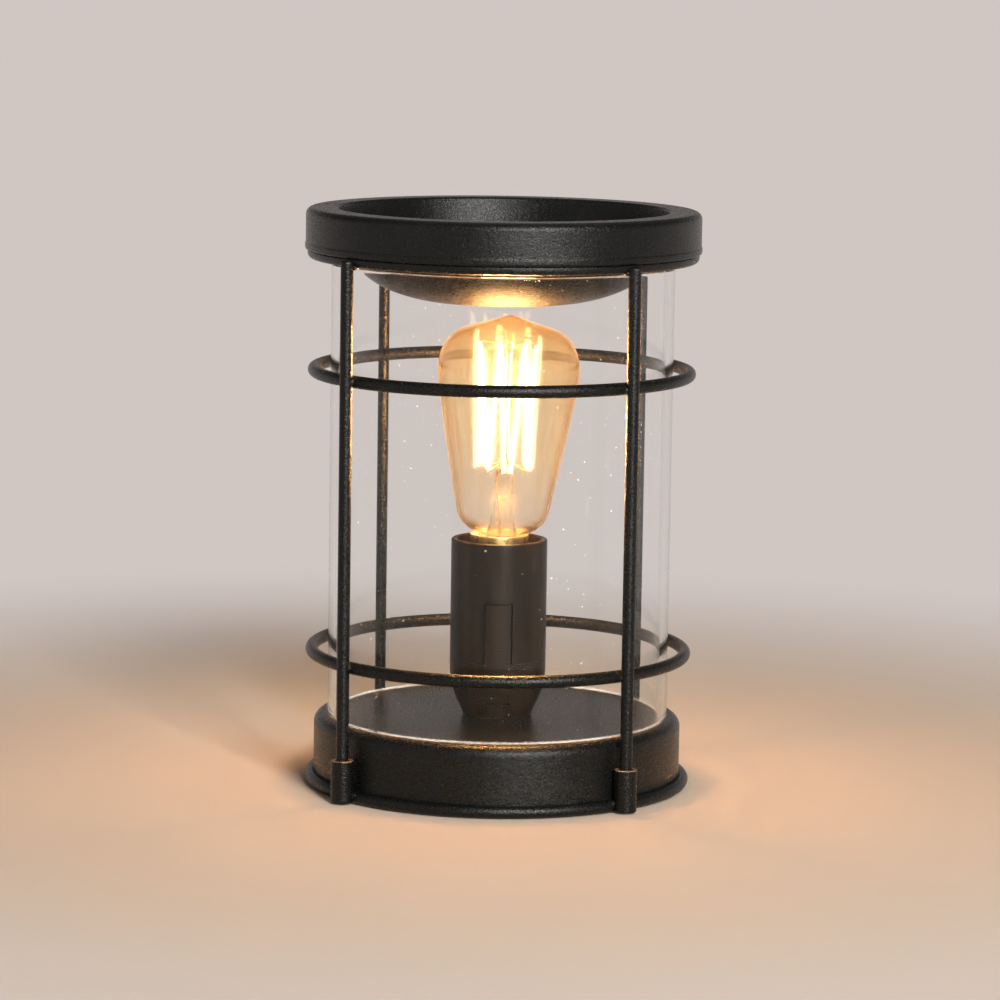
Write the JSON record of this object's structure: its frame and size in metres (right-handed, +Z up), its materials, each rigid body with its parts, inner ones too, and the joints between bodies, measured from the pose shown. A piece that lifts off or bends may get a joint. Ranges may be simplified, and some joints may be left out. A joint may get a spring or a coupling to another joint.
{
  "type": "candle warmer lamp",
  "caption": "Electric wax warmer: lift-off metal dish on a wire cage round a glass cylinder, with a teardrop bulb in a lampholder on a drum base",
  "frame": {"origin": "centre of the foot ring, on the surface the lamp stands on", "axes": "+Z up, -Y the front, +Y the back, where the mains cord comes in"},
  "size_m": [0.1138, 0.1138, 0.1665],
  "materials": {
    "black_powder_coat": "fine textured satin powder coat",
    "clear_glass": "clear, polished edges",
    "amber_glass": "clear amber tint",
    "brass": "plain rolled sheet",
    "solder": "dull",
    "black_glass": "glossy",
    "basing_cement": "matt",
    "nickel_wire": "drawn wire",
    "filament": "glowing carbon filament",
    "black_plastic": "satin moulded",
    "white_plastic": "moulded",
    "plated_steel": "zinc plated",
    "lead_insulation": "insulated lead",
    "lead_insulation_blue": "insulated lead",
    "black_rubber": "matt"
  },
  "bodies": {
    "base": {"base_drum": "black_powder_coat", "bottom_cover": "black_powder_coat", "cable_gland": "black_plastic", "cable_gland_nut": "black_plastic", "cover_lugs": "black_powder_coat", "cover_screws": "plated_steel", "foot_pads": "black_rubber", "foot_ring": "black_powder_coat", "lampholder_cap": "black_plastic", "lampholder_centre_contact": "brass", "lampholder_insert": "black_plastic", "lampholder_nipple": "plated_steel", "lampholder_screw_shell": "brass", "lampholder_shell": "black_plastic", "lampholder_terminal_screws": "plated_steel", "lampholder_terminals": "brass", "lead_live": "lead_insulation", "lead_neutral": "lead_insulation_blue", "nipple_nut": "plated_steel", "nipple_washer": "plated_steel", "rod_sleeve_back_left": "black_powder_coat", "rod_sleeve_back_right": "black_powder_coat", "rod_sleeve_front_left": "black_powder_coat", "rod_sleeve_front_right": "black_powder_coat", "terminal_block": "white_plastic", "terminal_block_screws": "plated_steel"},
    "cage": {"cage_lower_hoop": "black_powder_coat", "cage_rod_back_left": "black_powder_coat", "cage_rod_back_right": "black_powder_coat", "cage_rod_front_left": "black_powder_coat", "cage_rod_front_right": "black_powder_coat", "cage_top_ring": "black_powder_coat", "cage_upper_hoop": "black_powder_coat"},
    "dish": {"wax_dish": "black_powder_coat"},
    "glass": {"glass_cylinder": "clear_glass"},
    "bulb_tip": {"bulb_contact": "solder"},
    "bulb": {"bulb_glass": "amber_glass", "bulb_stem": "clear_glass", "bulb_cap": "brass", "bulb_insulator": "black_glass", "bulb_cement": "basing_cement", "bulb_contact_wire": "nickel_wire", "bulb_mount_wires": "nickel_wire", "filament_supports": "nickel_wire", "bulb_filament": "filament"}
  },
  "joints": [
    {"name": "cage_lift", "type": "slide", "parent": "base", "child": "cage", "axis": [0, 0, 1], "range_m": [0, 0.155]},
    {"name": "dish_lift", "type": "slide", "parent": "cage", "child": "dish", "axis": [0, 0, 1], "range_m": [0, 0.04]},
    {"name": "glass_play", "type": "slide", "parent": "base", "child": "glass", "axis": [0, 0, 1], "range_m": [0, 0.0008]},
    {"name": "bulb_rise", "type": "slide", "parent": "base", "child": "bulb_tip", "axis": [0, 0, 1], "range_m": [0, 0.00282]},
    {"name": "bulb_unscrew", "type": "hinge", "parent": "bulb_tip", "child": "bulb", "pos_m": [0, 0, 0.06], "axis": [0, 0, 1], "range_deg": [0, 360]}
  ],
  "couplings": [
    {"joint": "bulb_rise", "follows": "bulb_unscrew", "m_per_rad": 0.00044881}
  ]
}
